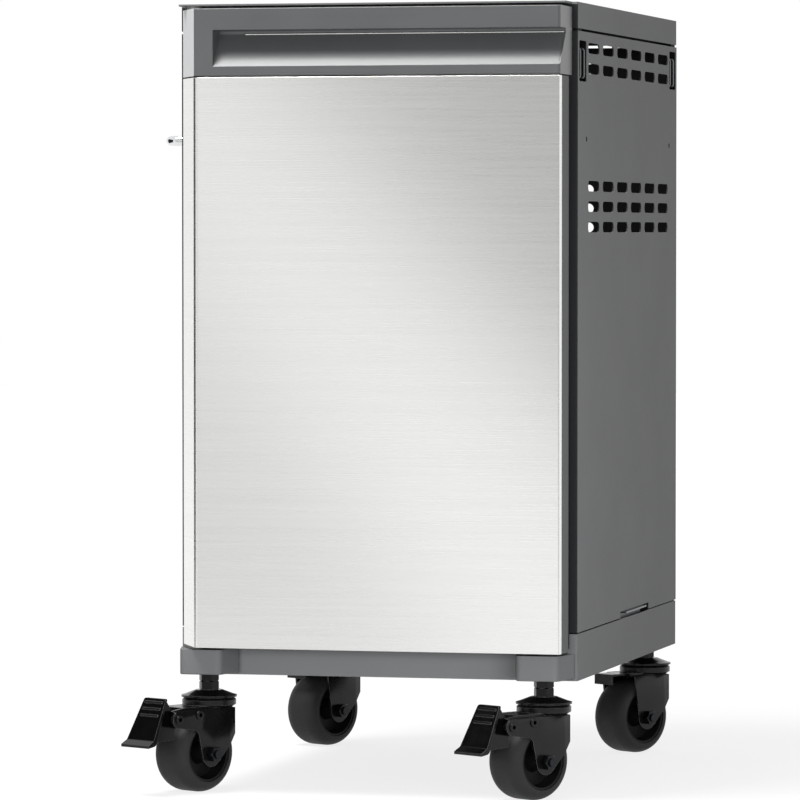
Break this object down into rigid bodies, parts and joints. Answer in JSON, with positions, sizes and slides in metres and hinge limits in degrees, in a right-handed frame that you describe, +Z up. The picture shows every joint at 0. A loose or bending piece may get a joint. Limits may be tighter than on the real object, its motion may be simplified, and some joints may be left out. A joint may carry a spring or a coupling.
{
  "type": "grill base cabinet",
  "caption": "Freestanding outdoor grill base: vented sheet-steel body, pivot-hung stainless door with a recessed handle bar, side towel bar and braked levelling casters.",
  "frame": {"origin": "on the floor under the middle of the cabinet body", "axes": "X to the right seen from the front, Y to the back so the door faces -Y, Z up"},
  "size_m": [0.5148, 0.7352, 0.914],
  "materials": {
    "graphite_paint": "satin graphite powder coat",
    "inner_paint": "matt black primer",
    "frame_paint": "satin grey powder coat",
    "trim_grey": "matt grey extruded strip",
    "stainless": "stainless sheet brushed along the width",
    "moulded_grey": "fine-grained satin moulding",
    "bar_chrome": "bright chrome plate",
    "zinc": "bright zinc plate",
    "acetal": "natural acetal",
    "magnet_case": "black moulded case",
    "caster_black": "black electro-coat on stamped steel",
    "bolt_black": "black zinc plate",
    "tyre_rubber": "dull grey-black tread",
    "hub_nylon": "black nylon",
    "pedal_nylon": "black glass-filled nylon"
  },
  "bodies": {
    "cabinet": {"base_pan": "graphite_paint", "base_floor": "graphite_paint", "top_frame": "graphite_paint", "side_panel_left": "graphite_paint", "side_panel_right": "graphite_paint", "back_panel": "graphite_paint", "back_screws": "zinc", "corner_post_front_left": "inner_paint", "corner_post_front_right": "inner_paint", "corner_post_rear_left": "inner_paint", "corner_post_rear_right": "inner_paint", "link_brackets": "inner_paint", "link_staples": "zinc", "link_tabs": "zinc", "towel_bar": "bar_chrome", "towel_bar_nuts": "zinc", "foot_block_left": "moulded_grey", "foot_block_right": "moulded_grey", "foot_screws": "zinc", "rear_caster_plates": "inner_paint", "caster_inserts": "zinc", "jam_nuts": "caster_black", "hinge_pins": "zinc", "hinge_washers": "acetal", "magnet_catch": "magnet_case"},
    "door": {"door_skin": "stainless", "door_core": "frame_paint", "door_liner": "inner_paint", "door_edge_trim": "trim_grey", "handle_bezel": "moulded_grey", "handle_end_cap": "moulded_grey", "handle_bead": "bar_chrome", "hinge_bushes": "acetal", "striker_plate": "zinc"},
    "stem_front_left": {"caster_stem_front_left": "caster_black"},
    "fork_front_left": {"caster_fork_front_left": "caster_black", "axle_bolt_front_left": "bolt_black", "brake_rivets_front_left": "bolt_black"},
    "wheel_front_left": {"wheel_tyre_front_left": "tyre_rubber", "wheel_hub_front_left": "hub_nylon"},
    "pedal_front_left": {"brake_pedal_front_left": "pedal_nylon"},
    "stem_front_right": {"caster_stem_front_right": "caster_black"},
    "fork_front_right": {"caster_fork_front_right": "caster_black", "axle_bolt_front_right": "bolt_black", "brake_rivets_front_right": "bolt_black"},
    "wheel_front_right": {"wheel_tyre_front_right": "tyre_rubber", "wheel_hub_front_right": "hub_nylon"},
    "pedal_front_right": {"brake_pedal_front_right": "pedal_nylon"},
    "stem_rear_left": {"caster_stem_rear_left": "caster_black"},
    "fork_rear_left": {"caster_fork_rear_left": "caster_black", "axle_bolt_rear_left": "bolt_black"},
    "wheel_rear_left": {"wheel_tyre_rear_left": "tyre_rubber", "wheel_hub_rear_left": "hub_nylon"},
    "stem_rear_right": {"caster_stem_rear_right": "caster_black"},
    "fork_rear_right": {"caster_fork_rear_right": "caster_black", "axle_bolt_rear_right": "bolt_black"},
    "wheel_rear_right": {"wheel_tyre_rear_right": "tyre_rubber", "wheel_hub_rear_right": "hub_nylon"}
  },
  "joints": [
    {"name": "door_hinge", "type": "hinge", "parent": "cabinet", "child": "door", "pos_m": [-0.212, -0.321, 0.5], "axis": [0, 0, -1], "range_deg": [0, 110]},
    {"name": "level_front_left", "type": "slide", "parent": "cabinet", "child": "stem_front_left", "axis": [0, 0, -1], "range_m": [0, 0.012]},
    {"name": "swivel_front_left", "type": "hinge", "parent": "stem_front_left", "child": "fork_front_left", "pos_m": [-0.2, -0.3067, 0.104], "axis": [0, 0, 1], "continuous": true},
    {"name": "roll_front_left", "type": "hinge", "parent": "fork_front_left", "child": "wheel_front_left", "pos_m": [-0.21212, -0.32856, 0.045], "axis": [0.8746, -0.4848, 0], "continuous": true},
    {"name": "brake_front_left", "type": "hinge", "parent": "fork_front_left", "child": "pedal_front_left", "pos_m": [-0.23781, -0.37492, 0.088], "axis": [0.8746, -0.4848, 0], "range_deg": [0, 20]},
    {"name": "level_front_right", "type": "slide", "parent": "cabinet", "child": "stem_front_right", "axis": [0, 0, -1], "range_m": [0, 0.012]},
    {"name": "swivel_front_right", "type": "hinge", "parent": "stem_front_right", "child": "fork_front_right", "pos_m": [0.2, -0.3067, 0.104], "axis": [0, 0, 1], "continuous": true},
    {"name": "roll_front_right", "type": "hinge", "parent": "fork_front_right", "child": "wheel_front_right", "pos_m": [0.18638, -0.32767, 0.045], "axis": [0.8387, -0.5446, 0], "continuous": true},
    {"name": "brake_front_right", "type": "hinge", "parent": "fork_front_right", "child": "pedal_front_right", "pos_m": [0.15752, -0.37212, 0.088], "axis": [0.8387, -0.5446, 0], "range_deg": [0, 20]},
    {"name": "level_rear_left", "type": "slide", "parent": "cabinet", "child": "stem_rear_left", "axis": [0, 0, -1], "range_m": [0, 0.012]},
    {"name": "swivel_rear_left", "type": "hinge", "parent": "stem_rear_left", "child": "fork_rear_left", "pos_m": [-0.2, 0.2793, 0.104], "axis": [0, 0, 1], "continuous": true},
    {"name": "roll_rear_left", "type": "hinge", "parent": "fork_rear_left", "child": "wheel_rear_left", "pos_m": [-0.21212, 0.25744, 0.045], "axis": [0.8746, -0.4848, 0], "continuous": true},
    {"name": "level_rear_right", "type": "slide", "parent": "cabinet", "child": "stem_rear_right", "axis": [0, 0, -1], "range_m": [0, 0.012]},
    {"name": "swivel_rear_right", "type": "hinge", "parent": "stem_rear_right", "child": "fork_rear_right", "pos_m": [0.2, 0.2793, 0.104], "axis": [0, 0, 1], "continuous": true},
    {"name": "roll_rear_right", "type": "hinge", "parent": "fork_rear_right", "child": "wheel_rear_right", "pos_m": [0.18638, 0.25833, 0.045], "axis": [0.8387, -0.5446, 0], "continuous": true}
  ]
}
